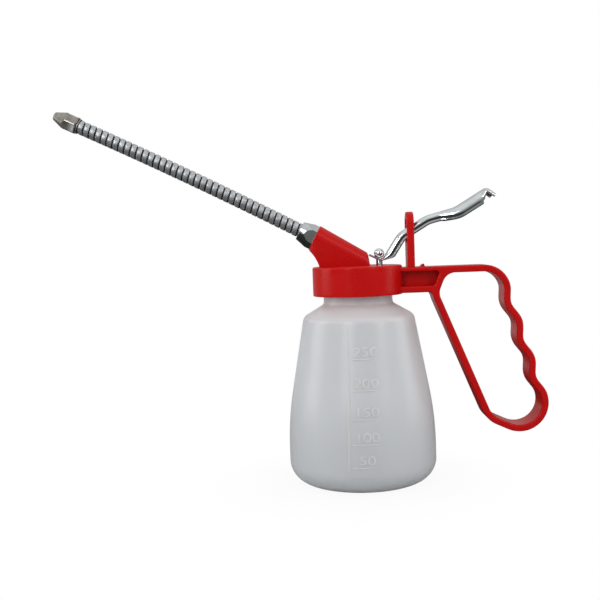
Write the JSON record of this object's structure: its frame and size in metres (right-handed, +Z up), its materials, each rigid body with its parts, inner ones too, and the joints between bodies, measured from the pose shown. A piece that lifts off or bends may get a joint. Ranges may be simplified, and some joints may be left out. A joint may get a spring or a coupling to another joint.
{
  "type": "oil can",
  "caption": "Hand-held pump oiler: tapered translucent bottle, screwed-on head with a finger-loop handle, sprung thumb lever and a ribbed metal spout with a conical nozzle.",
  "frame": {"origin": "centre of the bottle's flat base", "axes": "+Z up along the bottle's axis, +X towards the handle, -X towards the spout, +Y the far side as pictured"},
  "size_m": [0.2388, 0.0728, 0.1871],
  "materials": {
    "milky_polyethylene": "translucent, satin, blow-moulded",
    "red_plastic": "gloss, injection-moulded",
    "chromed_steel": "bright plated",
    "bright_steel": "bright drawn or wound",
    "nickel_plate": "nickel plated, turned",
    "black_rubber": "moulded",
    "white_plastic": "moulded or extruded"
  },
  "bodies": {
    "bottle": {"bottle": "milky_polyethylene"},
    "head": {"pump_head": "red_plastic", "neck_gasket": "black_rubber", "gland_seal": "black_rubber", "gland_bush": "white_plastic", "pump_cylinder": "white_plastic", "foot_valve": "white_plastic", "suction_tube": "white_plastic", "return_spring": "bright_steel", "spout_washer": "black_rubber", "spout_nut": "bright_steel", "spout_hose": "bright_steel", "spout_liner": "white_plastic", "nozzle_ring": "nickel_plate", "nozzle": "nickel_plate"},
    "rod": {"pump_rod": "chromed_steel", "ball_nut": "chromed_steel", "piston": "white_plastic", "piston_seal": "black_rubber"},
    "lever": {"lever": "chromed_steel"},
    "inlet_ball": {"inlet_ball": "bright_steel"},
    "piston_ball": {"piston_ball": "bright_steel"}
  },
  "joints": [
    {"name": "head_lift", "type": "slide", "parent": "bottle", "child": "head", "axis": [0, 0, 1], "range_m": [0, 0.105]},
    {"name": "rod_slide", "type": "slide", "parent": "head", "child": "rod", "axis": [0, 0, 1], "range_m": [0, 0.0075], "stiffness_N_per_m": 350, "springref_m": -0.006, "deforming": ["return_spring"]},
    {"name": "lever_rock", "type": "hinge", "parent": "rod", "child": "lever", "pos_m": [0.0111, 0, 0.1122], "axis": [0, 1, 0], "range_deg": [0, 28]},
    {"name": "inlet_ball_lift", "type": "slide", "parent": "head", "child": "inlet_ball", "axis": [0, 0, 1], "range_m": [0, 0.0012]},
    {"name": "piston_ball_lift", "type": "slide", "parent": "rod", "child": "piston_ball", "axis": [0, 0, 1], "range_m": [0, 0.0009]}
  ],
  "couplings": [
    {"joint": "lever_rock", "follows": "rod_slide", "rad_per_m": 64}
  ]
}
